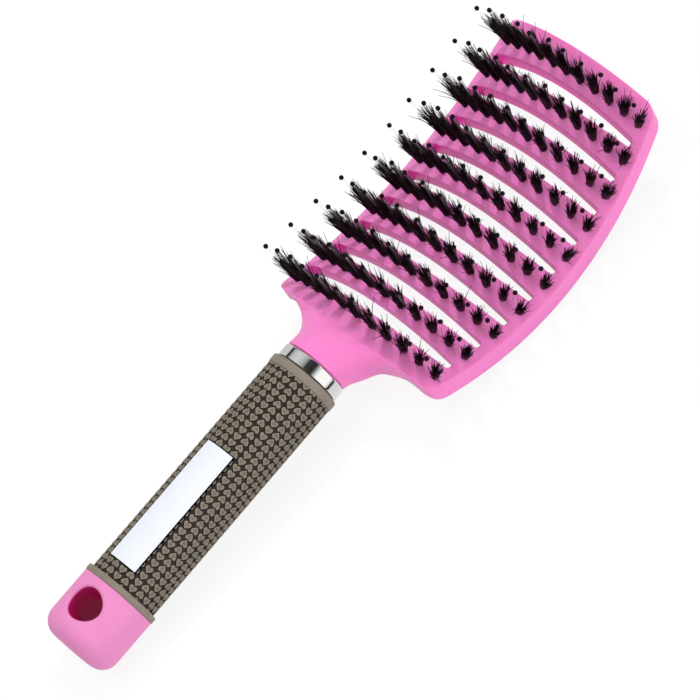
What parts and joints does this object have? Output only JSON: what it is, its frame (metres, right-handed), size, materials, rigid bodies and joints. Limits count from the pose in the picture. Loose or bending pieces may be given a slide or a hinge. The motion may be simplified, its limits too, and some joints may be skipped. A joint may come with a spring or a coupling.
{
  "type": "detangling hair brush",
  "caption": "Curved, vented hair brush: arched head with ribs of bristle tufts and ball-tipped pins, plated ring, heart-textured rubber grip and end cap with a hanging hole.",
  "frame": {"origin": "centre of the hanging hole, on the axis of the handle", "axes": "+Y along the handle from the end cap to the head, +Z out of the bristles, +X across the head"},
  "size_m": [0.0833, 0.2479, 0.048],
  "materials": {
    "pink_plastic": "gloss pink moulding",
    "plated_ring": "bright plated",
    "core_plastic": "plain dark moulding",
    "grip_rubber": "matt taupe rubber",
    "white_plate": "smooth white, bare",
    "bristle": "dark bristle",
    "staple_wire": "flat wire",
    "clear_nylon": "milky clear nylon",
    "tip_black": "gloss black resin"
  },
  "bodies": {
    "root": {"neck_bar": "pink_plastic", "tip_bar": "pink_plastic", "side_rail_left": "pink_plastic", "side_rail_right": "pink_plastic", "vent_rib_01": "pink_plastic", "vent_rib_02": "pink_plastic", "vent_rib_03": "pink_plastic", "vent_rib_04": "pink_plastic", "vent_rib_05": "pink_plastic", "vent_rib_06": "pink_plastic", "vent_rib_07": "pink_plastic", "vent_rib_08": "pink_plastic", "ferrule": "plated_ring", "handle_core": "core_plastic", "grip_sleeve": "grip_rubber", "label_plate": "white_plate", "end_cap": "pink_plastic", "bristle_row_01": "bristle", "staple_row_01": "staple_wire", "pin_row_01": "clear_nylon", "pin_tips_row_01": "tip_black", "bristle_row_02": "bristle", "staple_row_02": "staple_wire", "pin_row_02": "clear_nylon", "pin_tips_row_02": "tip_black", "bristle_row_03": "bristle", "staple_row_03": "staple_wire", "pin_row_03": "clear_nylon", "pin_tips_row_03": "tip_black", "bristle_row_04": "bristle", "staple_row_04": "staple_wire", "pin_row_04": "clear_nylon", "pin_tips_row_04": "tip_black", "bristle_row_05": "bristle", "staple_row_05": "staple_wire", "pin_row_05": "clear_nylon", "pin_tips_row_05": "tip_black", "bristle_row_06": "bristle", "staple_row_06": "staple_wire", "pin_row_06": "clear_nylon", "pin_tips_row_06": "tip_black", "bristle_row_07": "bristle", "staple_row_07": "staple_wire", "pin_row_07": "clear_nylon", "pin_tips_row_07": "tip_black", "bristle_row_08": "bristle", "staple_row_08": "staple_wire", "pin_row_08": "clear_nylon", "pin_tips_row_08": "tip_black", "bristle_row_09": "bristle", "staple_row_09": "staple_wire", "pin_row_09": "clear_nylon", "pin_tips_row_09": "tip_black", "bristle_row_10": "bristle", "staple_row_10": "staple_wire", "pin_row_10": "clear_nylon", "pin_tips_row_10": "tip_black"}
  },
  "joints": []
}
